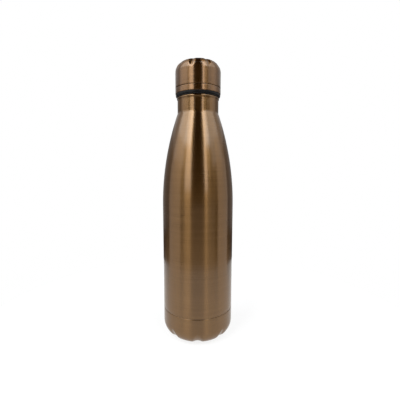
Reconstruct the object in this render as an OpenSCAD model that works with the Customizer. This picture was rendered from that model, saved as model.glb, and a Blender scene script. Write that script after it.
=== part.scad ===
// Double-walled water bottle with a fluted base cup and a fluted screw lid.
// Z is the bottle's axis. The origin is the centre of the foot circle that it stands on.

/* [Bottle] */
// Outer diameter of the straight body
body_d = 69; // [68:0.5:71]
// Height at which the body starts to curve in to the shoulder
shoulder_h = 129.8; // [124:0.2:134]
// Height of the top of the mouth's lip
mouth_h = 232.2; // [229:0.2:236]
// Outer diameter of the neck
neck_d = 39; // [38.8:0.1:39.6]
// Length of the straight neck
neck_len = 14.7; // [13.5:0.1:15.5]
// Radius of the rolled edge of the lip
lip_r = 1.2; // [0.8:0.1:1.5]
// How far the neck widens at its top, under the rolled edge
lip_flare = 0.6; // [0.3:0.1:0.6]
// Height of the widened top of the neck
lip_flare_h = 2.8; // [2:0.1:3.5]

/* [Base cup] */
// Height of the welded seam between the body and the base cup
seam_h = 27.5; // [25:0.5:29]
// Radius of the rounded corner under the body
base_corner_r = 13.5; // [12:0.5:14.5]
// Inner radius of the flat foot ring
foot_in_r = 19; // [17:0.5:20]
// Height of the hollow in the middle of the base
hollow_h = 2.5; // [1:0.5:4]
// Deepest point of a base flute
base_flute_depth = 1.5; // [1:0.1:1.8]
// Radius of a base flute's rounded section
base_flute_r = 9; // [7:0.5:10]

/* [Walls] */
// Thickness of the outer steel parts
shell_t = 0.5; // [0.4:0.05:0.7]
// Thickness of the inner steel parts
liner_t = 0.4; // [0.4:0.05:0.6]
// Width of the vacuum gap round the liner
vacuum_gap = 2.4; // [2:0.1:2.8]
// Radius of the mouth's bore
mouth_r = 16.7; // [16.5:0.1:16.9]

/* [Thread] */
// Rise of the thread in one turn
thread_lead = 5; // [4.5:0.1:5.5]
// Number of turns of each ridge
thread_turns = 2; // [1.5:0.25:2]
// Height of a ridge above its wall
thread_h = 1.1; // [0.9:0.05:1.2]
// Gap between the plug's thread and the mouth's thread
thread_gap = 0.4; // [0.3:0.05:0.5]

/* [Lid] */
// Outer diameter of the lid
lid_d = 42.9; // [42.6:0.1:43.5]
// Height of the closed bottle
total_h = 265; // [262:0.5:268]
// Height of the steel band round the bottom of the lid
band_h = 5.3; // [4:0.1:7]
// Radius of the lid's rounded top corner
lid_corner_r = 9.6; // [9:0.1:10.4]
// Rise of the slightly domed top inside the corner
lid_dome_h = 0.5; // [0.3:0.1:0.8]
// Angle that the lid's flutes are turned from the base's flutes
lid_clocking = 28.5; // [0:0.5:45]
// Deepest point of a lid flute
lid_flute_depth = 1.1; // [1:0.1:1.3]
// Radius of a lid flute's rounded section
lid_flute_r = 3.5; // [3.5:0.1:5]

/* [Plug] */
// Diameter of the black collar that shows under the steel band
collar_d = 42.2; // [42:0.1:42.4]
// Height of the collar's lower edge above the lip
collar_gap = 0.7; // [0.5:0.1:0.9]
// Height of the visible part of the collar
collar_h = 2.3; // [2:0.1:3]
// Length of the stem from the collar down to its end disc
stem_len = 23.7; // [22:0.1:26]
// Thickness of the plug's plastic walls
plug_wall = 2.2; // [1.8:0.1:2.6]

/* [Both rows of flutes] */
// Number of flutes round the base and round the lid
flute_count = 8; // [6:1:9]

/* [Hidden] */

// Fineness of full turns, of the long shoulder arc and of small rounds
turn_fn = 240;
arc_fn = 1440;
round_fn = 96;
// Room between two parts of one assembly that are pushed or glued together
fit_gap = 0.04;
// How far a cutter runs on past the face that it opens
cut_run_out = 1;

body_r = body_d / 2;
neck_r = neck_d / 2;
lip_out_r = neck_r + lip_flare;
// The shoulder is one arc, tangent to the body, that reaches the neck's radius at the neck's foot
shoulder_run = mouth_h - neck_len - shoulder_h;
shoulder_drop = body_r - neck_r;
shoulder_r = (pow(shoulder_run, 2) + pow(shoulder_drop, 2)) / (2 * shoulder_drop);
// Opening of the seam line, and the joggled edge of the base cup that closes it from inside
seam_gap = 0.2;
joggle_h = 3;
joggle_root_w = 1.5 * shell_t;

// Base cup: the hollow is part of a ball that meets the floor at the foot ring's inner edge
hollow_ball_r = (pow(foot_in_r, 2) + pow(hollow_h, 2)) / (2 * hollow_h);
base_flute_half_angle = 42;
// Direction of the middle of a rounded corner, and the part of its half angle that a cutter covers
corner_middle = 45;
flute_sweep_share = 0.95;

// Liner and its bottom
liner_inset = shell_t + vacuum_gap;
liner_r = body_r - liner_inset;
liner_neck_r = mouth_r + liner_t;
liner_floor_h = 39;
liner_corner_r = 8;
liner_weld_h = liner_floor_h + liner_corner_r;

// Vacuum bottom, its pump-out port, the bead in it and the getter beside it
middle_r = body_r - shell_t - fit_gap;
middle_skirt_h = 4.5;
middle_skirt_gap = 0.5;
middle_h = seam_h + joggle_h + middle_skirt_gap + middle_skirt_h;
dimple_r = 5;
dimple_h = 1.6;
port_r = 1.2;
getter_r = 5;
getter_h = 1.6;
getter_x = 15;

// Foil round the liner
foil_gap = 0.1;
foil_t = 0.15;
foil_end_gap = 3;

// Thread: the ridge's widths where it leaves the wall and at its crest
ridge_base_w = 2;
ridge_crest_w = 1;
ridge_steps_per_turn = 40;
ridge_fade_turns = 0.12;
// Depth of the ridge's root in its wall, and of its ends below the wall's face
ridge_root = 0.2;
ridge_end_sink = 0.15;
// Depth of the start of the mouth's thread below the lip
mouth_thread_drop = 13.6;
mouth_thread_z = mouth_h - mouth_thread_drop;
stem_r = mouth_r - thread_h - thread_gap;
ridge_slope = (ridge_base_w - ridge_crest_w) / 2 / thread_h;
// Distance between ridge centres at which the flanks are thread_gap apart
thread_offset = ridge_base_w / 2 + ridge_crest_w / 2 - ridge_slope * thread_gap + thread_gap;

// Lid levels, from the lip upwards
collar_z = mouth_h + collar_gap;
band_z = collar_z + collar_h;
cap_z = band_z + band_h;
lid_r = lid_d / 2;
cap_inner_x = lid_r - lid_corner_r;
cap_corner_z = total_h - lid_dome_h - lid_corner_r;
lid_dome_r = (pow(cap_inner_x, 2) + pow(lid_dome_h, 2)) / (2 * lid_dome_h);
lid_flute_half_angle = 38;
band_edge = 0.4;

// Plug
core_r = lid_r - shell_t - fit_gap;
core_top_drop = 1.4;
core_top_z = cap_corner_z - core_top_drop;
collar_edge_r = 0.7;
stem_z = mouth_h + collar_gap - stem_len;
stem_bore_r = stem_r - plug_wall;
core_bore_r = core_r - plug_wall;
core_floor_z = band_z + plug_wall;
end_disc_h = 1.8;
end_disc_edge_r = 1;
spigot_h = 2;
foam_gap = 0.1;

// Gasket, in a recess under the collar
gasket_stem_gap = 0.15;
gasket_in_r = stem_r + gasket_stem_gap;
gasket_out_r = 20.1;
gasket_h = 1.65;
gasket_rest = 0.05;
gasket_room = 0.2;
recess_top_z = mouth_h + gasket_rest + gasket_h + gasket_rest;

copper = "#a67c5b";
steel = "#b9bcbf";
bright_foil = "#d9dbdd";
black_plastic = "#17181a";
black_rubber = "#232426";
white_plastic = "#e6e4dc";
foam = "#e9dfb4";
solder = "#8f9296";

// ---- Outlines, drawn as radius across and height up ----

// Body, shoulder and neck as one filled outline, moved in by inset
module bottle_outline(inset, neck, low, high) {
    translate([0, low]) square([body_r - inset, shoulder_h - low]);
    translate([0, shoulder_h]) square([neck, high - shoulder_h]);
    intersection() {
        translate([body_r - shoulder_r, shoulder_h])
            circle(r = shoulder_r - inset, $fn = arc_fn);
        translate([0, shoulder_h]) square([body_r, shoulder_run]);
    }
}

// The widened top of the neck and the rolled lip that joins it to the liner's neck
module lip_outline() {
    polygon([
        [neck_r - shell_t, mouth_h - lip_flare_h],
        [neck_r, mouth_h - lip_flare_h],
        [lip_out_r, mouth_h - lip_r],
        [lip_out_r - shell_t, mouth_h - lip_r]
    ]);
    translate([lip_out_r - lip_r, mouth_h - lip_r]) intersection() {
        difference() {
            circle(r = lip_r, $fn = round_fn);
            circle(r = lip_r - shell_t, $fn = round_fn);
        }
        square(lip_r);
    }
    translate([liner_neck_r, mouth_h - shell_t])
        square([lip_out_r - lip_r - liner_neck_r, shell_t]);
}

// Base cup as one filled outline, moved in by inset, with the hollow under it
module base_outline(inset) {
    difference() {
        union() {
            translate([0, base_corner_r]) square([body_r - inset, seam_h - base_corner_r]);
            translate([0, inset]) square([body_r - base_corner_r, base_corner_r]);
            translate([body_r - base_corner_r, base_corner_r])
                circle(r = base_corner_r - inset, $fn = turn_fn);
        }
        translate([0, hollow_h - hollow_ball_r])
            circle(r = hollow_ball_r + inset, $fn = arc_fn);
    }
}

// Top of the lid as one filled outline, moved in by inset
module cap_outline(inset, low) {
    translate([0, low]) square([lid_r - inset, cap_corner_z - low]);
    translate([0, cap_corner_z]) square([cap_inner_x, lid_corner_r - inset]);
    translate([cap_inner_x, cap_corner_z]) circle(r = lid_corner_r - inset, $fn = turn_fn);
    intersection() {
        translate([0, total_h - lid_dome_r]) circle(r = lid_dome_r - inset, $fn = arc_fn);
        translate([0, cap_corner_z]) square([cap_inner_x, lid_corner_r + lid_dome_h]);
    }
}

// The right half of an outline turned into a solid
module turned() {
    rotate_extrude($fn = turn_fn) intersection() {
        children();
        square([body_r, total_h]);
    }
}

// ---- Flutes ----

// A ring of rounded cutters. Each follows an arc flatter than the corner, so that the flute is
// deepest halfway round the corner and runs out at both ends. side is 1 above, -1 below.
module flutes(centre_x, centre_z, corner_r, depth, half_angle, section_r, inset, side, start) {
    chord = corner_r * sin(half_angle);
    rise = corner_r * (1 - cos(half_angle)) - depth;
    path_r = (pow(chord, 2) + pow(rise, 2)) / (2 * rise);
    sweep = half_angle * flute_sweep_share;
    for (i = [0 : flute_count - 1])
        rotate([0, 0, start + i * 360 / flute_count])
            translate([centre_x, 0, centre_z])
                rotate([90, 0, 0])
                    rotate([0, 0, side * corner_middle])
                        translate([corner_r - depth - path_r, 0, 0])
                            rotate([0, 0, -sweep])
                                rotate_extrude(angle = 2 * sweep, $fn = turn_fn)
                                    translate([path_r + section_r, 0])
                                        circle(r = section_r + inset, $fn = round_fn);
}

module base_flutes(inset) {
    flutes(body_r - base_corner_r, base_corner_r, base_corner_r, base_flute_depth,
        base_flute_half_angle, base_flute_r, inset, -1, 0);
}

module lid_flutes(inset) {
    flutes(cap_inner_x, cap_corner_z, lid_corner_r, lid_flute_depth,
        lid_flute_half_angle, lid_flute_r, inset, 1, lid_clocking);
}

// ---- Thread ----

// How far a ridge stands up at a fraction of its length: it rises out of the wall at each end
function ridge_fade(t) =
    let (turns_from_end = min(t, 1 - t) * thread_turns)
    min(1, turns_from_end / ridge_fade_turns) * (1 + ridge_end_sink) - ridge_end_sink;

// Corners of the ridge's section at a fraction t of its length. out is 1 for a ridge on the
// outside of a shaft and -1 for one inside a bore.
function ridge_section(wall_r, out, t) =
    let (
        a = 360 * thread_turns * t,
        z = thread_lead * thread_turns * t,
        root = wall_r - out * ridge_root,
        crest = wall_r + out * thread_h * ridge_fade(t),
        base_w = ridge_base_w / 2,
        crest_w = ridge_crest_w / 2
    )
    [for (p = [[root, -base_w * out], [crest, -crest_w * out], [crest, crest_w * out],
            [root, base_w * out]])
        [p[0] * cos(a), p[0] * sin(a), z + p[1]]];

// A helical ridge of the thread on a wall of radius wall_r
module ridge(wall_r, out) {
    steps = ceil(ridge_steps_per_turn * thread_turns);
    points = [for (k = [0 : steps]) each ridge_section(wall_r, out, k / steps)];
    last = 4 * steps;
    sides = [for (k = [0 : steps - 1]) for (j = [0 : 3])
        let (a = 4 * k + j, b = 4 * k + (j + 1) % 4)
        each [[a, b, a + 4], [b, b + 4, a + 4]]];
    ends = [[0, 2, 1], [0, 3, 2], [last, last + 1, last + 2], [last, last + 2, last + 3]];
    polyhedron(points = points, faces = concat(sides, ends));
}

// ---- Bottle ----

// Outer wall from the seam to the lip, drawn from one tube
module outer_shell() {
    color(copper) {
        turned() difference() {
            bottle_outline(0, neck_r, seam_h + seam_gap / 2, mouth_h - lip_flare_h);
            bottle_outline(shell_t, neck_r - shell_t, 0, mouth_h);
        }
        turned() lip_outline();
    }
}

// Fluted cup that the bottle stands on, with a joggled edge that sits inside the outer shell
module base_cup() {
    color(copper) {
        difference() {
            turned() intersection() {
                base_outline(0);
                square([body_r, seam_h - seam_gap / 2]);
            }
            base_flutes(0);
            difference() {
                turned() base_outline(shell_t);
                base_flutes(shell_t);
            }
        }
        turned() {
            translate([middle_r - shell_t, seam_h - joggle_h]) square([shell_t, 2 * joggle_h]);
            translate([middle_r - shell_t, seam_h - joggle_h])
                square([joggle_root_w, joggle_h - seam_gap / 2]);
        }
    }
}

// Bottom of the vacuum jacket, with the port in a raised dimple at its middle
module middle_bottom() {
    color(steel) turned() {
        translate([middle_r - liner_t, middle_h - middle_skirt_h])
            square([liner_t, middle_skirt_h]);
        translate([dimple_r - liner_t, middle_h - liner_t])
            square([middle_r - dimple_r + liner_t, liner_t]);
        translate([dimple_r - liner_t, middle_h - liner_t]) square([liner_t, dimple_h + liner_t]);
        translate([port_r, middle_h + dimple_h - liner_t]) square([dimple_r - port_r, liner_t]);
    }
}

// Bead of solder that fills the dimple from below and closes the port
module vacuum_seal() {
    color(solder) turned() {
        translate([0, middle_h]) square([dimple_r - liner_t, dimple_h - liner_t]);
        translate([0, middle_h]) square([port_r, dimple_h]);
    }
}

// Tablet that soaks up stray gas inside the vacuum
module getter() {
    color(solder) translate([getter_x, 0, middle_h])
        cylinder(r = getter_r, h = getter_h, $fn = round_fn);
}

// Inner wall from the weld of its bottom to the lip, with the mouth's thread
module inner_liner() {
    color(steel) {
        turned() difference() {
            bottle_outline(liner_inset, liner_neck_r, liner_weld_h, mouth_h);
            bottle_outline(liner_inset + liner_t, mouth_r, 0, total_h);
        }
        translate([0, 0, mouth_thread_z]) ridge(mouth_r, -1);
    }
}

// Dished bottom of the liner
module liner_bottom() {
    color(steel) turned() difference() {
        union() {
            translate([liner_r - liner_corner_r, liner_weld_h])
                circle(r = liner_corner_r, $fn = round_fn);
            translate([0, liner_floor_h]) square([liner_r - liner_corner_r, liner_corner_r]);
        }
        translate([liner_r - liner_corner_r, liner_weld_h])
            circle(r = liner_corner_r - liner_t, $fn = round_fn);
        translate([0, liner_floor_h + liner_t])
            square([liner_r - liner_corner_r, liner_corner_r]);
        translate([0, liner_weld_h]) square([body_r, liner_corner_r]);
    }
}

// Bright foil round the straight part of the liner
module radiation_shield() {
    color(bright_foil) turned()
        translate([liner_r + foil_gap, liner_weld_h + foil_end_gap])
            square([foil_t, shoulder_h - liner_weld_h - 2 * foil_end_gap]);
}

// ---- Lid ----

// Fluted steel cup over the top of the lid
module cap_shell() {
    color(copper) difference() {
        turned() cap_outline(0, cap_z + seam_gap / 2);
        lid_flutes(0);
        difference() {
            turned() cap_outline(shell_t, cap_z - cut_run_out);
            lid_flutes(shell_t);
        }
    }
}

// Plain steel band below the cup, with a bevelled lower edge
module cap_band() {
    low = band_z;
    high = cap_z - seam_gap / 2;
    color(copper) turned() polygon([
        [lid_r - shell_t, low],
        [lid_r - band_edge, low],
        [lid_r, low + band_edge],
        [lid_r, high],
        [lid_r - shell_t, high]
    ]);
}

// Moulded core of the lid: collar, core under the steel, and the hollow threaded stem
module plug_body() {
    color(black_plastic) {
        turned() difference() {
            union() {
                translate([0, stem_z]) square([stem_r, band_z - stem_z]);
                translate([0, band_z]) square([core_r, core_top_z - band_z]);
                translate([0, collar_z + collar_edge_r])
                    square([collar_d / 2, collar_h - collar_edge_r]);
                translate([0, collar_z]) square([collar_d / 2 - collar_edge_r, collar_h]);
                translate([collar_d / 2 - collar_edge_r, collar_z + collar_edge_r])
                    circle(r = collar_edge_r, $fn = round_fn);
            }
            translate([stem_r, collar_z - cut_run_out])
                square([gasket_out_r + gasket_room - stem_r,
                    recess_top_z - collar_z + cut_run_out]);
            square([stem_bore_r, core_floor_z + cut_run_out]);
            translate([0, core_floor_z])
                square([core_bore_r, core_top_z - plug_wall - core_floor_z]);
        }
        translate([0, 0, mouth_thread_z - thread_offset]) ridge(stem_r, 1);
    }
}

// Foam that fills the stem and the core
module plug_insulation() {
    color(foam) turned() {
        translate([0, stem_z + spigot_h + foam_gap])
            square([stem_bore_r - foam_gap, core_floor_z - stem_z - spigot_h]);
        translate([0, core_floor_z + foam_gap])
            square([core_bore_r - foam_gap, core_top_z - plug_wall - core_floor_z - 2 * foam_gap]);
    }
}

// Disc welded to the stem's end, with a spigot in its bore
module plug_end_disc() {
    color(black_plastic) turned() {
        translate([0, stem_z - end_disc_h]) square([stem_r - end_disc_edge_r, end_disc_h]);
        translate([0, stem_z - end_disc_h + end_disc_edge_r])
            square([stem_r, end_disc_h - end_disc_edge_r]);
        translate([stem_r - end_disc_edge_r, stem_z - end_disc_h + end_disc_edge_r]) intersection() {
            circle(r = end_disc_edge_r, $fn = round_fn);
            translate([0, -end_disc_edge_r]) square(end_disc_edge_r);
        }
        translate([0, stem_z]) square([stem_bore_r - fit_gap, spigot_h]);
    }
}

// Silicone ring between the collar and the lip
module lid_gasket() {
    color(black_rubber) turned() translate([gasket_in_r, mouth_h + gasket_rest])
        square([gasket_out_r - gasket_in_r, gasket_h]);
}

outer_shell();
base_cup();
middle_bottom();
vacuum_seal();
getter();
inner_liner();
liner_bottom();
radiation_shield();
cap_shell();
cap_band();
plug_body();
plug_insulation();
plug_end_disc();
lid_gasket();
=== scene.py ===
"""Looks of the copper-gold double-walled bottle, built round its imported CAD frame."""
import math

import bpy
import numpy as np
from mathutils import Matrix, Vector

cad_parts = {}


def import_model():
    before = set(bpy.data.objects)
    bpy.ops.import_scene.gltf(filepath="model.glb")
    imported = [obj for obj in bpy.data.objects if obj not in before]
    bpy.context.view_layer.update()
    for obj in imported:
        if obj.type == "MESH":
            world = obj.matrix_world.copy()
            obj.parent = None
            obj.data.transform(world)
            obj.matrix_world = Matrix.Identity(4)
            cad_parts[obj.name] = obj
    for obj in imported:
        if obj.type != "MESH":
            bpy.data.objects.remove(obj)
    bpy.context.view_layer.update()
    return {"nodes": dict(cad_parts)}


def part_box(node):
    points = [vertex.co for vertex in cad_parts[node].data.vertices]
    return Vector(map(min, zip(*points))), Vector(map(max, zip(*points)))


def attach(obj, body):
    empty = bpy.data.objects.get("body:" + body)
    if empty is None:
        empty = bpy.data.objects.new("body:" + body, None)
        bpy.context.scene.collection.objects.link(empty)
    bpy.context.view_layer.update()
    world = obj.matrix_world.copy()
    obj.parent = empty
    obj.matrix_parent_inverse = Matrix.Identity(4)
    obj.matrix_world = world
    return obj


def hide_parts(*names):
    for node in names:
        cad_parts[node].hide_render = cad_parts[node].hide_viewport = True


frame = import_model()

MM = 0.001
TURN = 2 * math.pi


def box_mm(node):
    """A node's lowest and highest corners at rest, in millimetres."""
    low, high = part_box(node)
    return [c / MM for c in low], [c / MM for c in high]


# ---- Sizes in millimetres, as in the CAD model ----
# What the nodes' boxes give
(_, _, SHELL_LOW), (BODY_R, _, MOUTH_H) = box_mm("outer_shell")
_, (_, _, JOGGLE_TOP) = box_mm("base_cup")
(_, _, CAP_LOW), (LID_R, _, TOTAL_H) = box_mm("cap_shell")
(_, _, BAND_LOW), (_, _, BAND_HIGH) = box_mm("cap_band")
(_, _, STEM_LOW), (COLLAR_R, _, CORE_TOP) = box_mm("plug_body")
(_, _, DISC_LOW), (STEM_R, _, SPIGOT_TOP) = box_mm("plug_end_disc")
(_, _, GASKET_LOW), (GASKET_R, _, GASKET_TOP) = box_mm("lid_gasket")
(_, _, LINER_LOW), (LINER_R, _, _) = box_mm("inner_liner")
(_, _, FLOOR_LOW), _ = box_mm("liner_bottom")

# What they can't give
SHOULDER_H = 129.8
NECK_R = 19.5
NECK_LEN = 14.7
LIP_R = 1.2
LIP_FLARE = 0.6
LIP_FLARE_H = 2.8
SHELL_T = 0.5
LINER_T = 0.4
MOUTH_R = 16.7
BASE_CORNER_R = 13.5
FOOT_IN_R = 19.0
HOLLOW_H = 2.5
JOGGLE_H = 3.0
LID_CORNER_R = 9.6
LID_DOME_H = 0.5
LINER_CORNER_R = 8.0
PLUG_WALL = 2.2
SEAM_GAP = 0.2
FIT_GAP = 0.04
GASKET_ROOM = 0.2
COLLAR_GAP = 0.7

# Flutes: deepest point, radius of the rounded section, half angle of the sweep, turn of the first
# one round the axis, and the side of the corner (-1 below, 1 above)
FLUTES = 8
BASE_FLUTE = dict(depth=1.5, section=9.0, half=42.0, start=0.0, side=-1)
LID_FLUTE = dict(depth=1.1, section=3.5, half=38.0, start=28.5, side=1)

# Where in the corner's quarter circle a flute's middle is, in degrees. The share of the half angle
# where a flute starts to fade, and the share over which it does. The softness of its rim
CORNER_MIDDLE = 45
SWEEP_SHARE = 0.95
SWEEP_FADE = 0.25
PRESS_BLEND = 0.25

# Thread: its ridge comes in over RIDGE_FADE of a turn at each end
LEAD = 5.0
THREAD_TURNS = 2.0
THREAD_H = 1.1
THREAD_GAP = 0.4
RIDGE_BASE = 2.0
RIDGE_CREST = 1.0
RIDGE_FADE = 0.12
MOUTH_THREAD_DROP = 13.6
MOUTH_THREAD_Z = MOUTH_H - MOUTH_THREAD_DROP
RIDGE_SLOPE = (RIDGE_BASE - RIDGE_CREST) / 2 / THREAD_H
THREAD_OFFSET = (RIDGE_BASE + RIDGE_CREST) / 2 + THREAD_GAP * (1 - RIDGE_SLOPE)

# Fineness: steps round the axis for fluted and threaded pieces, and for plain ones
FINE = 384
ROUND = 256

# A radius under ON_AXIS counts as on the axis, and TINY keeps a division from failing
ON_AXIS = 1e-6
TINY = 1e-9


# ---- Outlines: lists of (radius, height), with the solid on the left of the way they run ----


def arc(centre_r, centre_z, radius, start, end, steps):
    """Points on a round stretch, from one angle to another in degrees, both included."""
    angles = [math.radians(start + (end - start) * i / steps) for i in range(steps + 1)]
    return [(centre_r + radius * math.cos(a), centre_z + radius * math.sin(a)) for a in angles]


def line(start, end, steps):
    """Points along a straight stretch, without its ends."""
    return [
        (start[0] + (end[0] - start[0]) * i / steps, start[1] + (end[1] - start[1]) * i / steps)
        for i in range(1, steps)
    ]


SHOULDER_RUN = MOUTH_H - NECK_LEN - SHOULDER_H
SHOULDER_DROP = BODY_R - NECK_R
SHOULDER_R = (SHOULDER_RUN**2 + SHOULDER_DROP**2) / (2 * SHOULDER_DROP)


def shoulder(inset, neck_r, steps=72):
    """The shoulder's arc, inset from the outer face, from the body up to the neck."""
    centre_r = BODY_R - SHOULDER_R
    radius = SHOULDER_R - inset
    end = math.degrees(math.acos((neck_r - centre_r) / radius))
    return arc(centre_r, SHOULDER_H, radius, 0, end, steps)


def grid(profile, steps, warp):
    """Points of an outline turned round Z, as rows of angles, in millimetres.

    warp says how far each point moves against its own normal, into the solid.
    """
    points = np.array(profile)
    around = np.roll(points, -1, 0) - np.roll(points, 1, 0)
    if points[0][0] < ON_AXIS:
        around[0], around[-1] = points[1] - points[0], points[-1] - points[-2]
    length = np.maximum(np.hypot(around[:, 0], around[:, 1]), TINY)
    normal = np.stack([around[:, 1], -around[:, 0]], 1) / length[:, None]
    angle = np.arange(steps) * TURN / steps
    r = np.repeat(points[:, :1], steps, 1)
    z = np.repeat(points[:, 1:], steps, 1)
    if warp:
        shift = warp(r, z, np.broadcast_to(angle, r.shape))
        r = r - normal[:, :1] * shift
        z = z - normal[:, 1:] * shift
    return np.stack([r * np.cos(angle), r * np.sin(angle), z], 2)


def lathe(name, profile, steps=ROUND, warp=None, crease=40):
    """A closed mesh of an outline turned round Z, with two poles if its ends are on the axis."""
    poled = profile[0][0] < ON_AXIS
    points = grid(profile, steps, warp)
    rows = list(range(len(profile)))
    verts = []
    index = []
    for row in rows:
        single = poled and row in (0, rows[-1])
        ring = points[row][:1] if single else points[row]
        index.append([len(verts)] * steps if single else [len(verts) + i for i in range(steps)])
        verts += [tuple(p * MM) for p in ring]
    pairs = list(zip(rows, rows[1:])) + ([] if poled else [(rows[-1], 0)])
    faces = []
    for low, high in pairs:
        for i in range(steps):
            j = (i + 1) % steps
            corners = [index[low][i], index[low][j], index[high][j], index[high][i]]
            faces.append(tuple(dict.fromkeys(corners)))
    mesh = bpy.data.meshes.new(name)
    mesh.from_pydata(verts, [], faces)
    mesh.validate()
    mesh.shade_smooth()
    mesh.set_sharp_from_angle(angle=math.radians(crease))
    piece = bpy.data.objects.new(name, mesh)
    bpy.context.scene.collection.objects.link(piece)
    return piece


# ---- Flutes and threads, as shifts of a surface along its own normal ----


def soft_step_up(depth):
    """A depth that is 0 outside a flute and rounds smoothly into it."""
    return (depth + np.sqrt(depth**2 + PRESS_BLEND**2)) / 2


def eased(value, share):
    """A value that comes in smoothly as share goes from 0 to 1."""
    return value * share * share * (3 - 2 * share)


def flute_press(centre_r, centre_z, corner_r, flute, inner):
    """How far the flutes press a sheet in.

    Each flute is a rounded tool swept along an arc flatter than the corner. inner says which rows
    are on the sheet's inner face: there the tool is one sheet bigger, and the way in is turned.
    """
    chord = corner_r * math.sin(math.radians(flute["half"]))
    rise = corner_r * (1 - math.cos(math.radians(flute["half"]))) - flute["depth"]
    path_r = (chord**2 + rise**2) / (2 * rise)
    reach = path_r + flute["section"]
    middle = math.radians(CORNER_MIDDLE * flute["side"])
    ring_r = centre_r + (corner_r - flute["depth"] - path_r) * math.cos(middle)
    ring_z = centre_z + (corner_r - flute["depth"] - path_r) * math.sin(middle)
    limit = math.radians(flute["half"] * SWEEP_SHARE)
    pitch = TURN / FLUTES
    sheet = np.where(inner, SHELL_T, 0.0)
    sign = np.where(inner, -1.0, 1.0)

    def press(r, z, angle):
        off = (angle - math.radians(flute["start"]) + pitch / 2) % pitch - pitch / 2
        x, y = r * np.cos(off), r * np.sin(off)
        from_ring = np.hypot(np.hypot(x - ring_r, z - ring_z) - reach, y)
        depth = soft_step_up(flute["section"] + sheet - from_ring)
        turned = np.abs((np.arctan2(z - ring_z, x - ring_r) - middle + math.pi) % TURN - math.pi)
        fade = np.clip((1 + SWEEP_FADE - turned / limit) / SWEEP_FADE, 0, 1)
        return eased(depth, fade) * sign

    return press


def ridge(r, z, angle, start_z):
    """Height of the helical ridge at a place on a threaded wall."""
    turns = angle / TURN
    whole = np.round((z - start_z) / LEAD - turns)
    along = turns + whole
    away = np.abs(z - start_z - LEAD * along)
    flank = np.clip((RIDGE_BASE / 2 - away) / ((RIDGE_BASE - RIDGE_CREST) / 2), 0, 1)
    from_end = np.minimum(along, THREAD_TURNS - along)
    fade = np.clip(from_end / RIDGE_FADE, 0, 1)
    return eased(THREAD_H * fade, flank)


# ---- Materials ----


# The Mix node's colour sockets share their names with others, so they go by number
MIX_FIRST, MIX_SECOND, MIX_RESULT = 6, 7, 2

# The range that a noise value usually keeps to
NOISE_LOW, NOISE_HIGH = 0.3, 0.7


def material(name):
    """A new material, with its nodes, its links and its shader."""
    made = bpy.data.materials.new(name)
    made.use_nodes = True
    nodes = made.node_tree.nodes
    return made, nodes, made.node_tree.links, nodes["Principled BSDF"]


def object_space(nodes):
    """The place on the piece, in its own metres."""
    return nodes.new("ShaderNodeTexCoord").outputs["Object"]


def worked_out(nodes, links, operation, *terms):
    """The result of a Math node. A term is a number or another node's output."""
    made = nodes.new("ShaderNodeMath")
    made.operation = operation
    for socket, term in zip(made.inputs, terms):
        if isinstance(term, (int, float)):
            socket.default_value = term
        else:
            links.new(term, socket)
    return made.outputs[0]


def turned_coordinates(nodes, links, along, across, sense):
    """Coordinates that change slowly round the axis and fast across the brushed lines.

    along and across are cycles per metre. sense is 1 where a surface climbs as it widens, else -1.
    """
    parts = nodes.new("ShaderNodeSeparateXYZ")
    links.new(object_space(nodes), parts.inputs[0])
    x, y, z = (parts.outputs[axis] for axis in "XYZ")
    square_x = worked_out(nodes, links, "MULTIPLY", x, x)
    square = worked_out(nodes, links, "MULTIPLY_ADD", y, y, square_x)
    radius = worked_out(nodes, links, "SQRT", square)
    climb = worked_out(nodes, links, "MULTIPLY_ADD", radius, sense, z)
    joined = nodes.new("ShaderNodeCombineXYZ")
    for socket, value in zip(joined.inputs, (x, y, climb)):
        links.new(value, socket)
    scaled = nodes.new("ShaderNodeVectorMath")
    scaled.operation = "MULTIPLY"
    scaled.inputs[1].default_value = (along, along, across)
    links.new(joined.outputs[0], scaled.inputs[0])
    return scaled.outputs[0]


def noise(nodes, links, vector, scale, detail=3.0, roughness=0.55):
    """A noise texture read at a vector."""
    made = nodes.new("ShaderNodeTexNoise")
    made.inputs["Scale"].default_value = scale
    made.inputs["Detail"].default_value = detail
    made.inputs["Roughness"].default_value = roughness
    links.new(vector, made.inputs["Vector"])
    return made.outputs["Fac"]


def spread(nodes, links, value, low, high, start=NOISE_LOW, end=NOISE_HIGH):
    """Maps a value's range, as a rule that of a noise, onto low to high."""
    made = nodes.new("ShaderNodeMapRange")
    made.inputs["From Min"].default_value = start
    made.inputs["From Max"].default_value = end
    made.inputs["To Min"].default_value = low
    made.inputs["To Max"].default_value = high
    links.new(value, made.inputs["Value"])
    return made.outputs["Result"]


def mixed(nodes, links, factor, first, second):
    """A colour between two colours."""
    made = nodes.new("ShaderNodeMix")
    made.data_type = "RGBA"
    links.new(factor, made.inputs["Factor"])
    made.inputs[MIX_FIRST].default_value = (*first, 1)
    made.inputs[MIX_SECOND].default_value = (*second, 1)
    return made.outputs[MIX_RESULT]


def bumped(nodes, links, height, distance, strength):
    """A normal from a height."""
    made = nodes.new("ShaderNodeBump")
    made.inputs["Strength"].default_value = strength
    made.inputs["Distance"].default_value = distance
    links.new(height, made.inputs["Height"])
    return made.outputs["Normal"]


# Brushed metal: cycles per metre round the axis and across the lines, for the fine lines and for
# the longer streaks, and each one's share of the tone
LINES = dict(along=45, across=3600)
STREAKS = dict(along=14, across=420)
LINES_SHARE = 0.6
STREAKS_SHARE = 0.4

# How much the lines and the smudges change the gloss
LINES_GLOSS = 0.03
SMUDGES_GLOSS = (-0.015, 0.02)
SMUDGES_SCALE = 38.0

# Brushed round the axis, the glints run along it: a quarter turn from the tangent
BRUSHED_TURN = 0.25

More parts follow.
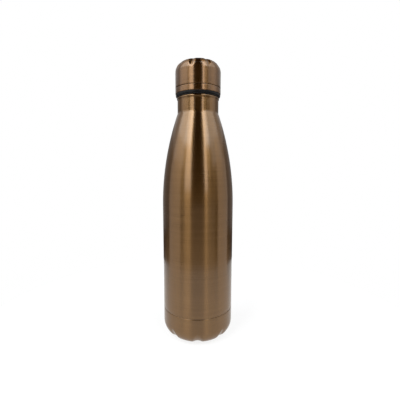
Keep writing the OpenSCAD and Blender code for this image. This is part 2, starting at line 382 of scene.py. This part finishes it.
# What a metal reflects at a glancing angle: coated copper darkens there, plain steel doesn't
PLAIN_EDGE = (1.0, 1.0, 1.0, 1.0)
DARK_EDGE = (0.72, 0.66, 0.6, 1.0)


def brushed_metal(name, light, dark, roughness, anisotropy, sense, coat=0.0, line_depth=0.000004):
    """Metal brushed round the axis: fine lines, longer streaks, and faint smudges in the gloss."""
    made, nodes, links, shader = material(name)
    fine = turned_coordinates(nodes, links, sense=sense, **LINES)
    lines = noise(nodes, links, fine, 1.0, detail=4.0, roughness=0.65)
    broad = turned_coordinates(nodes, links, sense=sense, **STREAKS)
    streaks = noise(nodes, links, broad, 1.0, detail=2.0)
    smudges = noise(nodes, links, object_space(nodes), SMUDGES_SCALE, detail=2.0)
    line_tone = spread(nodes, links, lines, 0.0, LINES_SHARE)
    streak_tone = spread(nodes, links, streaks, 0.0, STREAKS_SHARE)
    tone = worked_out(nodes, links, "ADD", line_tone, streak_tone)
    links.new(mixed(nodes, links, tone, dark, light), shader.inputs["Base Color"])
    line_gloss = spread(nodes, links, lines, roughness - LINES_GLOSS, roughness + LINES_GLOSS)
    smudge_gloss = spread(nodes, links, smudges, *SMUDGES_GLOSS)
    gloss = worked_out(nodes, links, "ADD", line_gloss, smudge_gloss)
    links.new(gloss, shader.inputs["Roughness"])
    links.new(bumped(nodes, links, lines, line_depth, 1.0), shader.inputs["Normal"])
    tangent = nodes.new("ShaderNodeTangent")
    tangent.direction_type = "RADIAL"
    tangent.axis = "Z"
    links.new(tangent.outputs[0], shader.inputs["Tangent"])
    shader.inputs["Metallic"].default_value = 1.0
    shader.inputs["Anisotropic"].default_value = anisotropy
    shader.inputs["Anisotropic Rotation"].default_value = BRUSHED_TURN
    shader.inputs["Coat Weight"].default_value = coat
    shader.inputs["Coat Roughness"].default_value = 0.16
    shader.inputs["Specular Tint"].default_value = DARK_EDGE if coat else PLAIN_EDGE
    return made


# Moulded surfaces: flow marks are this many times longer than the grain, and the grain changes
# the gloss by this much
FLOW_TO_GRAIN = 40
GRAIN_GLOSS = 0.06
GRAIN_STRENGTH = 0.6


def moulded(name, light, dark, roughness, grain, depth, specular=0.5):
    """A moulded, cast or pressed surface: a fine grain and slight flow marks."""
    made, nodes, links, shader = material(name)
    here = object_space(nodes)
    fine = noise(nodes, links, here, grain)
    flow = noise(nodes, links, here, grain / FLOW_TO_GRAIN, detail=2.0)
    tone = spread(nodes, links, flow, 0, 1)
    links.new(mixed(nodes, links, tone, dark, light), shader.inputs["Base Color"])
    gloss = spread(nodes, links, fine, roughness - GRAIN_GLOSS, roughness + GRAIN_GLOSS)
    links.new(gloss, shader.inputs["Roughness"])
    links.new(bumped(nodes, links, fine, depth, GRAIN_STRENGTH), shader.inputs["Normal"])
    shader.inputs["Specular IOR Level"].default_value = specular
    return made


def crinkled_foil(name):
    """Bright foil with the creases of a hand-wrapped sheet."""
    crease_scale = 140.0
    crease_width = 0.2
    crease_depth = 0.0004
    crease_strength = 0.8
    dull_scale = 60.0
    gloss_range = (0.12, 0.3)
    made, nodes, links, shader = material(name)
    here = object_space(nodes)
    creases = nodes.new("ShaderNodeTexVoronoi")
    creases.feature = "DISTANCE_TO_EDGE"
    creases.inputs["Scale"].default_value = crease_scale
    links.new(here, creases.inputs["Vector"])
    dull = noise(nodes, links, here, dull_scale)
    tone = mixed(nodes, links, dull, (0.72, 0.73, 0.75), (0.88, 0.88, 0.89))
    links.new(tone, shader.inputs["Base Color"])
    links.new(spread(nodes, links, dull, *gloss_range), shader.inputs["Roughness"])
    height = spread(nodes, links, creases.outputs["Distance"], 0.0, 1.0, 0.0, crease_width)
    bump = bumped(nodes, links, height, crease_depth, crease_strength)
    links.new(bump, shader.inputs["Normal"])
    shader.inputs["Metallic"].default_value = 1.0
    return made


COPPER = dict(light=(0.194, 0.105, 0.0405), dark=(0.154, 0.081, 0.029), anisotropy=1.0)

copper_up = brushed_metal("copper_gold_body", **COPPER, roughness=0.3, sense=-1, coat=0.75)
copper_down = brushed_metal("copper_gold_foot", **COPPER, roughness=0.3, sense=1, coat=0.7)
copper_lid = brushed_metal(
    "copper_gold_top",
    light=(0.178, 0.093, 0.039),
    dark=(0.142, 0.073, 0.029),
    roughness=0.3,
    anisotropy=1.0,
    sense=-1,
    coat=0.7,
)
copper_band = brushed_metal(
    "copper_gold_ring",
    light=(0.186, 0.097, 0.041),
    dark=(0.148, 0.075, 0.03),
    roughness=0.28,
    anisotropy=1.0,
    sense=-1,
    coat=0.75,
)
liner_steel = brushed_metal(
    "liner_steel",
    light=(0.66, 0.66, 0.67),
    dark=(0.55, 0.55, 0.56),
    roughness=0.28,
    anisotropy=0.7,
    sense=-1,
    line_depth=0.000006,
)
bare_steel = brushed_metal(
    "bare_steel",
    light=(0.6, 0.6, 0.61),
    dark=(0.46, 0.46, 0.47),
    roughness=0.38,
    anisotropy=0.4,
    sense=1,
)
solder = moulded(
    "solder",
    light=(0.5, 0.5, 0.52),
    dark=(0.36, 0.37, 0.39),
    roughness=0.42,
    grain=900,
    depth=0.00003,
)
solder.node_tree.nodes["Principled BSDF"].inputs["Metallic"].default_value = 1.0
getter_metal = moulded(
    "getter_powder",
    light=(0.2, 0.2, 0.21),
    dark=(0.12, 0.12, 0.13),
    roughness=0.75,
    grain=5000,
    depth=0.00004,
)
black_plastic = moulded(
    "black_polypropylene",
    light=(0.006, 0.006, 0.0065),
    dark=(0.003, 0.003, 0.0035),
    roughness=0.42,
    grain=3500,
    depth=0.000015,
    specular=0.22,
)
black_silicone = moulded(
    "black_silicone",
    light=(0.022, 0.022, 0.025),
    dark=(0.014, 0.014, 0.016),
    roughness=0.55,
    grain=2500,
    depth=0.00001,
)
pale_foam = moulded(
    "pale_foam",
    light=(0.8, 0.72, 0.46),
    dark=(0.66, 0.58, 0.34),
    roughness=0.85,
    grain=1600,
    depth=0.0001,
)
foil = crinkled_foil("bright_foil")


# ---- Pieces ----


# Rounding of the small edges of the sheet and of the stem
EDGE = 0.3


def place(piece, node, body, look):
    """Puts a finished piece in its CAD node's stead."""
    piece.data.materials.append(look)
    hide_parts(node)
    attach(piece, body)


def rows_of(profile):
    """The numbers of an outline's points, as a column."""
    return np.arange(len(profile))[:, None]


def outer_shell():
    """Body, shoulder, neck and rolled lip, with a rounded edge at the seam."""
    outside = arc(BODY_R - EDGE, SHELL_LOW + EDGE, EDGE, -90, 0, steps=4)
    outside += line((BODY_R, SHELL_LOW + EDGE), (BODY_R, SHOULDER_H), steps=24)
    outside += shoulder(0, NECK_R)
    neck_foot = outside[-1][1]
    flare_foot = MOUTH_H - LIP_FLARE_H
    flare_top = MOUTH_H - LIP_R
    flare_steps = 10
    lip_out = NECK_R + LIP_FLARE
    outside += line((NECK_R, neck_foot), (NECK_R, flare_foot), steps=8)
    for i in range(flare_steps):
        t = i / flare_steps
        out = LIP_FLARE * (0.5 - 0.5 * math.cos(math.pi * t))
        outside.append((NECK_R + out, flare_foot + (flare_top - flare_foot) * t))
    outside += arc(lip_out - LIP_R, flare_top, LIP_R, 0, 90, steps=12)
    lip_in = MOUTH_R + LINER_T
    inside = [(lip_in, MOUTH_H), (lip_in, MOUTH_H - SHELL_T)]
    inside += arc(lip_out - LIP_R, flare_top, LIP_R - SHELL_T, 90, 0, steps=6)
    inside += [(NECK_R - SHELL_T, flare_foot)]
    inside += shoulder(SHELL_T, NECK_R - SHELL_T, steps=48)[::-1]
    inside += [(BODY_R - SHELL_T, SHELL_LOW)]
    piece = lathe("bottle_outer_shell", outside + inside)
    place(piece, "outer_shell", "bottle", copper_up)


def base_cup():
    """Fluted cup under the seam, with its joggled edge inside the body."""
    seam = SHELL_LOW - SEAM_GAP
    ball = (FOOT_IN_R**2 + HOLLOW_H**2) / (2 * HOLLOW_H)
    corner = BODY_R - BASE_CORNER_R
    hollow_end = math.degrees(math.asin(FOOT_IN_R / ball))
    outside = arc(0, HOLLOW_H - ball, ball, 90, 90 - hollow_end, steps=16)
    outside[0] = (0.0, HOLLOW_H)
    outside += arc(corner, BASE_CORNER_R, BASE_CORNER_R, -90, 0, steps=44)
    outside += line((BODY_R, BASE_CORNER_R), (BODY_R, seam - EDGE), steps=10)
    outside += arc(BODY_R - EDGE, seam - EDGE, EDGE, 0, 90, steps=4)
    joggle_out = BODY_R - SHELL_T - FIT_GAP
    joggle_in = joggle_out - SHELL_T
    joggle_low = JOGGLE_TOP - 2 * JOGGLE_H
    outside += [(joggle_out, seam), (joggle_out, JOGGLE_TOP)]
    inside = [(joggle_in, JOGGLE_TOP), (joggle_in, joggle_low), (BODY_R - SHELL_T, joggle_low)]
    inside += line((BODY_R - SHELL_T, joggle_low), (BODY_R - SHELL_T, BASE_CORNER_R), steps=8)
    inside += arc(corner, BASE_CORNER_R, BASE_CORNER_R - SHELL_T, 0, -90, steps=36)
    inner_ball = ball + SHELL_T
    meet = math.degrees(math.acos((SHELL_T - HOLLOW_H + ball) / inner_ball))
    inside += arc(0, HOLLOW_H - ball, inner_ball, 90 - meet, 90, steps=14)
    inside[-1] = (0.0, HOLLOW_H + SHELL_T)
    profile = outside + inside
    inner = rows_of(profile) >= len(outside)
    press = flute_press(corner, BASE_CORNER_R, BASE_CORNER_R, BASE_FLUTE, inner)
    piece = lathe("bottle_base_cup", profile, FINE, press)
    place(piece, "base_cup", "bottle", copper_down)


def cap_shell():
    """Fluted steel cup over the lid."""
    corner_r = LID_R - LID_CORNER_R
    corner_z = TOTAL_H - LID_DOME_H - LID_CORNER_R
    dome = (corner_r**2 + LID_DOME_H**2) / (2 * LID_DOME_H)
    dome_end = math.degrees(math.asin(corner_r / dome))
    outside = arc(LID_R - EDGE, CAP_LOW + EDGE, EDGE, -90, 0, steps=4)
    outside += line((LID_R, CAP_LOW + EDGE), (LID_R, corner_z), steps=16)
    outside += arc(corner_r, corner_z, LID_CORNER_R, 0, 90, steps=44)
    outside += arc(0, TOTAL_H - dome, dome, 90 - dome_end, 90, steps=14)[1:]
    outside[-1] = (0.0, TOTAL_H)
    inner_r = LID_R - SHELL_T
    inner_dome = dome - SHELL_T
    meet = math.degrees(math.asin(corner_r / inner_dome))
    inside = arc(0, TOTAL_H - dome, inner_dome, 90, 90 - meet, steps=12)
    inside[0] = (0.0, TOTAL_H - SHELL_T)
    inside += arc(corner_r, corner_z, LID_CORNER_R - SHELL_T, 90, 0, steps=36)[1:]
    inside += line((inner_r, corner_z), (inner_r, CAP_LOW), steps=10)
    inside += [(inner_r, CAP_LOW)]
    profile = inside + outside
    inner = rows_of(profile) < len(inside)
    press = flute_press(corner_r, corner_z, LID_CORNER_R, LID_FLUTE, inner)
    piece = lathe("lid_cap_shell", profile, FINE, press)
    place(piece, "cap_shell", "lid", copper_lid)


def cap_band():
    """Plain ring under the cap shell, with a rounded top edge and a partly rounded foot."""
    top_edge = 0.5
    foot = 0.4
    inner = LID_R - SHELL_T
    outside = [(LID_R - foot, BAND_LOW)]
    outside += arc(LID_R - foot, BAND_LOW + foot, foot, -60, 0, steps=5)
    outside += line((LID_R, BAND_LOW + foot), (LID_R, BAND_HIGH - top_edge), steps=12)
    outside += arc(LID_R - top_edge, BAND_HIGH - top_edge, top_edge, 0, 90, steps=6)
    outside += [(inner, BAND_HIGH), (inner, BAND_LOW)]
    piece = lathe("lid_steel_band", outside)
    place(piece, "cap_band", "lid", copper_band)


def plug_body():
    """Black core of the lid: collar, hollow stem and thread."""
    collar_z = MOUTH_H + COLLAR_GAP
    recess_top = GASKET_TOP + (GASKET_LOW - MOUTH_H)
    recess_r = GASKET_R + GASKET_ROOM
    core_r = LID_R - SHELL_T - FIT_GAP
    core_bore = core_r - PLUG_WALL
    stem_bore = STEM_R - PLUG_WALL
    core_floor = BAND_LOW + PLUG_WALL
    collar_edge = 0.7
    thread_step = 0.22
    thread_rows = int((collar_z - STEM_LOW) / thread_step)
    profile = [(0.0, CORE_TOP - PLUG_WALL), (core_bore, CORE_TOP - PLUG_WALL)]
    profile += [(core_bore, core_floor), (stem_bore, core_floor), (stem_bore, STEM_LOW)]
    profile += arc(STEM_R - EDGE, STEM_LOW + EDGE, EDGE, -90, 0, steps=3)
    stem_from = len(profile)
    profile += line((STEM_R, STEM_LOW + EDGE), (STEM_R, recess_top), thread_rows)
    stem_to = len(profile)
    profile += [(STEM_R, recess_top), (recess_r, recess_top), (recess_r, collar_z)]
    profile += arc(COLLAR_R - collar_edge, collar_z + collar_edge, collar_edge, -90, 0, steps=6)
    profile += [(COLLAR_R, BAND_LOW), (core_r, BAND_LOW), (core_r, CORE_TOP), (0.0, CORE_TOP)]
    rows = rows_of(profile)
    threaded = (rows >= stem_from) & (rows < stem_to)

    def thread(r, z, angle):
        return -ridge(r, z, angle, MOUTH_THREAD_Z - THREAD_OFFSET) * threaded

    piece = lathe("lid_plug", profile, ROUND, thread, crease=50)
    place(piece, "plug_body", "lid", black_plastic)


def plug_end_disc():
    """Disc that closes the stem: a rounded rim, a shallow dish in its face and a small bevel."""
    rim_edge = 1.0
    rim_w = 3.2
    dish = 0.35
    bevel = 0.15
    # The dish's wall: how far in from the rim, and the share of the dish's depth there
    wall = ((1.2, 1.0), (0.8, 0.8), (0.3, 0.2), (0.0, 0.0))
    spigot_r = STEM_R - PLUG_WALL - FIT_GAP
    profile = [(0.0, DISC_LOW + dish)]
    profile += [(STEM_R - rim_w - far, DISC_LOW + dish * share) for far, share in wall]
    profile += arc(STEM_R - rim_edge, DISC_LOW + rim_edge, rim_edge, -90, 0, steps=8)
    profile += [(STEM_R, STEM_LOW - bevel), (STEM_R - bevel, STEM_LOW)]
    profile += [(spigot_r, STEM_LOW), (spigot_r, SPIGOT_TOP), (0.0, SPIGOT_TOP)]
    piece = lathe("lid_plug_end_disc", profile)
    place(piece, "plug_end_disc", "lid", black_plastic)


def lid_gasket():
    """Silicone ring with rounded corners and two fine sealing beads under it."""
    low, high, outer = GASKET_LOW, GASKET_TOP, GASKET_R
    stem_gap = 0.15
    inner = STEM_R + stem_gap
    edge = 0.35
    beads = 2
    bead_h = 0.12
    bead_steps = 24
    profile = [(inner, high), (inner, low + edge)]
    profile += arc(inner + edge, low + edge, edge, 180, 270, steps=4)
    for i in range(1, bead_steps):
        r = inner + edge + (outer - inner - 2 * edge) * i / bead_steps
        wave = 0.5 - 0.5 * math.cos(beads * TURN * i / bead_steps)
        profile.append((r, low + bead_h * wave))
    profile += arc(outer - edge, low + edge, edge, -90, 0, steps=4)
    profile += arc(outer - edge, high - edge, edge, 0, 90, steps=4)
    piece = lathe("lid_seal_ring", profile)
    place(piece, "lid_gasket", "seal", black_silicone)


def inner_liner():
    """Inner wall with the mouth's rolled thread, which shows as a groove on the vacuum side."""
    neck_out = MOUTH_R + LINER_T
    inset = BODY_R - LINER_R
    outside = [(LINER_R, LINER_LOW)]
    outside += line((LINER_R, LINER_LOW), (LINER_R, SHOULDER_H), steps=12)
    outside += shoulder(inset, neck_out, steps=48)
    outer_foot = outside[-1][1]
    thread_step = 0.25
    thread_rows = int((MOUTH_H - outer_foot) / thread_step)
    outer_from = len(outside)
    outside += line((neck_out, outer_foot), (neck_out, MOUTH_H), thread_rows)
    outer_to = len(outside)
    outside += [(neck_out, MOUTH_H), (MOUTH_R, MOUTH_H)]
    inside = shoulder(inset + LINER_T, MOUTH_R, steps=48)[::-1]
    inner_from = len(outside)
    outside += line((MOUTH_R, MOUTH_H), (MOUTH_R, inside[0][1]), thread_rows)
    inner_to = len(outside)
    profile = outside + inside
    profile += line(inside[-1], (LINER_R - LINER_T, LINER_LOW), steps=12)
    profile += [(LINER_R - LINER_T, LINER_LOW)]
    rows = rows_of(profile)
    outer_side = (rows >= outer_from) & (rows < outer_to)
    inner_side = (rows >= inner_from) & (rows < inner_to)

    def thread(r, z, angle):
        height = ridge(r, z, angle, MOUTH_THREAD_Z)
        return height * outer_side - height * inner_side

    piece = lathe("bottle_inner_liner", profile, ROUND, thread, crease=50)
    place(piece, "inner_liner", "bottle", liner_steel)


def liner_bottom():
    """Bottom of the liner: flat with a rounded corner and a shallow pressed ring."""
    corner = LINER_R - LINER_CORNER_R
    weld = FLOOR_LOW + LINER_CORNER_R
    ring_r = 14
    ring_w = 2.2
    ring_h = 0.35
    steps = 32

    def pressed_face(offset, direction):
        points = []
        for i in range(steps + 1):
            r = corner * i / steps
            press = ring_h * math.exp(-(((r - ring_r) / ring_w) ** 2))
            points.append((r, FLOOR_LOW + offset + press))
        return points[::direction]

    profile = pressed_face(0, 1)[:-1] + arc(corner, weld, LINER_CORNER_R, -90, 0, steps=16)
    profile += arc(corner, weld, LINER_CORNER_R - LINER_T, 0, -90, steps=14)
    profile += pressed_face(LINER_T, -1)[1:]
    piece = lathe("bottle_liner_bottom", profile)
    place(piece, "liner_bottom", "bottle", liner_steel)


outer_shell()
base_cup()
inner_liner()
liner_bottom()
cap_shell()
cap_band()
plug_body()
plug_end_disc()
lid_gasket()

# The hidden pieces keep their CAD shapes and get finished materials
for node, look in (
    ("middle_bottom", bare_steel),
    ("vacuum_seal", solder),
    ("getter", getter_metal),
    ("radiation_shield", foil),
    ("plug_insulation", pale_foam),
):
    slots = frame["nodes"][node].material_slots
    for i in range(len(slots)):
        slots[i].material = look


# ---- Floor, light and camera ----


def floor():
    """A plain pale round floor under the bottle, with a glow that keeps it near white."""
    radius = 0.24
    steps = 128
    ring = [
        (radius * math.cos(TURN * i / steps), radius * math.sin(TURN * i / steps), 0)
        for i in range(steps)
    ]
    mesh = bpy.data.meshes.new("floor")
    mesh.from_pydata(ring, [], [list(range(steps))])
    piece = bpy.data.objects.new("floor", mesh)
    bpy.context.scene.collection.objects.link(piece)
    made, _, _, shader = material("pale_floor")
    shader.inputs["Base Color"].default_value = (0.2, 0.2, 0.2, 1)
    shader.inputs["Emission Color"].default_value = (1, 1, 1, 1)
    shader.inputs["Emission Strength"].default_value = 0.82
    shader.inputs["Roughness"].default_value = 0.9
    shader.inputs["Specular IOR Level"].default_value = 0.1
    mesh.materials.append(made)


# Panels stand this far from the bottle's axis, and their angles are seen from this height
PANEL_DISTANCE = 1.6
PANEL_AIM_Z = 0.15

NEUTRAL = (1.0, 1.0, 1.0)
COOL = (0.94, 1.0, 1.03)
WARM = (1.0, 0.88, 0.72)

# Name, azimuths and elevations in degrees, radiance and tint. Azimuth 0 is the front, 90 the right
PANELS = (
    ("strip_left_low", (-43, -22), (2, 28), 2.3, NEUTRAL),
    ("strip_left_high", (-39, -27), (28, 70), 7.3, COOL),
    ("wing_left_high", (-58, -39), (28, 70), 5.5, COOL),
    ("strip_right_low", (22, 31.5), (2, 28), 2.6, NEUTRAL),
    ("strip_right_high", (26, 49), (28, 70), 5.6, COOL),
    ("fill_left_low", (-100, -52), (16, 28), 1.45, NEUTRAL),
    ("fill_left_high", (-100, -58), (28, 70), 3.3, COOL),
    ("fill_right_low", (52, 100), (16, 28), 1.15, NEUTRAL),
    ("fill_right_high", (49, 100), (28, 70), 2.2, COOL),
    ("side_left", (-104, -57), (-30, 16), 0.76, NEUTRAL),
    ("side_right", (67, 110), (-30, 16), 0.74, NEUTRAL),
    ("back_left_low", (-160, -104), (-14, 18), 0.22, NEUTRAL),
    ("back_right_low", (106, 160), (-14, 18), 0.22, NEUTRAL),
    ("back_left_high", (-160, -100), (18, 62), 0.7, NEUTRAL),
    ("back_right_high", (100, 160), (18, 62), 0.7, NEUTRAL),
    ("front_low", (-54, 56), (-32, -6), 0.34, WARM),
)


def panel(name, azimuths, elevations, radiance, tint):
    """An upright soft light that fills a range of azimuths and elevations as seen from the bottle.

    An upright light keeps its azimuths at every height.
    """
    middle = math.radians(sum(azimuths) / 2)
    half = math.radians((azimuths[1] - azimuths[0]) / 2)
    low, high = (PANEL_DISTANCE * math.tan(math.radians(e)) for e in elevations)
    away = Vector((math.sin(middle), -math.cos(middle), 0))
    data = bpy.data.lights.new(name, "AREA")
    data.shape = "RECTANGLE"
    data.color = tint
    data.size = 2 * PANEL_DISTANCE * math.tan(half)
    data.size_y = high - low
    data.energy = radiance * math.pi * data.size * data.size_y
    lamp = bpy.data.objects.new(name, data)
    lamp.location = away * PANEL_DISTANCE + Vector((0, 0, PANEL_AIM_Z + (low + high) / 2))
    lamp.rotation_euler = away.to_track_quat("Z", "Y").to_euler()
    lamp.visible_camera = False
    bpy.context.scene.collection.objects.link(lamp)


def world():
    """White surroundings for the camera, and a dim studio for every other ray."""
    made = bpy.data.worlds.new("studio")
    bpy.context.scene.world = made
    made.use_nodes = True
    nodes, links = made.node_tree.nodes, made.node_tree.links
    white = nodes["Background"]
    white.inputs["Color"].default_value = (1, 1, 1, 1)
    white.inputs["Strength"].default_value = 1.0
    dim = nodes.new("ShaderNodeBackground")
    dim.inputs["Color"].default_value = (0.074, 0.055, 0.046, 1)
    rays = nodes.new("ShaderNodeLightPath")
    pick = nodes.new("ShaderNodeMixShader")
    links.new(rays.outputs["Is Camera Ray"], pick.inputs["Fac"])
    links.new(dim.outputs[0], pick.inputs[1])
    links.new(white.outputs[0], pick.inputs[2])
    links.new(pick.outputs[0], nodes["World Output"].inputs["Surface"])


def camera():
    """A wide lens close by, at about two thirds of the bottle's height, tilted slightly down."""
    down = 6.61
    roll = 0.13
    data = bpy.data.cameras.new("camera")
    data.sensor_width = 36.0
    data.lens = 25.8
    data.clip_start = 0.01
    made = bpy.data.objects.new("camera", data)
    made.location = (0.0021, -0.2834, 0.1674)
    tilt = Matrix.Rotation(math.radians(90 - down), 3, "X")
    made.rotation_euler = (tilt @ Matrix.Rotation(math.radians(roll), 3, "Z")).to_euler()
    bpy.context.scene.collection.objects.link(made)
    bpy.context.scene.camera = made


floor()
world()
for settings in PANELS:
    panel(*settings)
camera()

# The photo's darks are deep and saturated: a slight black level gives the same
BLACK_LEVEL = 0.0035
view = bpy.context.scene.view_settings
view.view_transform = "Standard"
view.use_curve_mapping = True
view.curve_mapping.black_level = (BLACK_LEVEL,) * 3
view.curve_mapping.update()
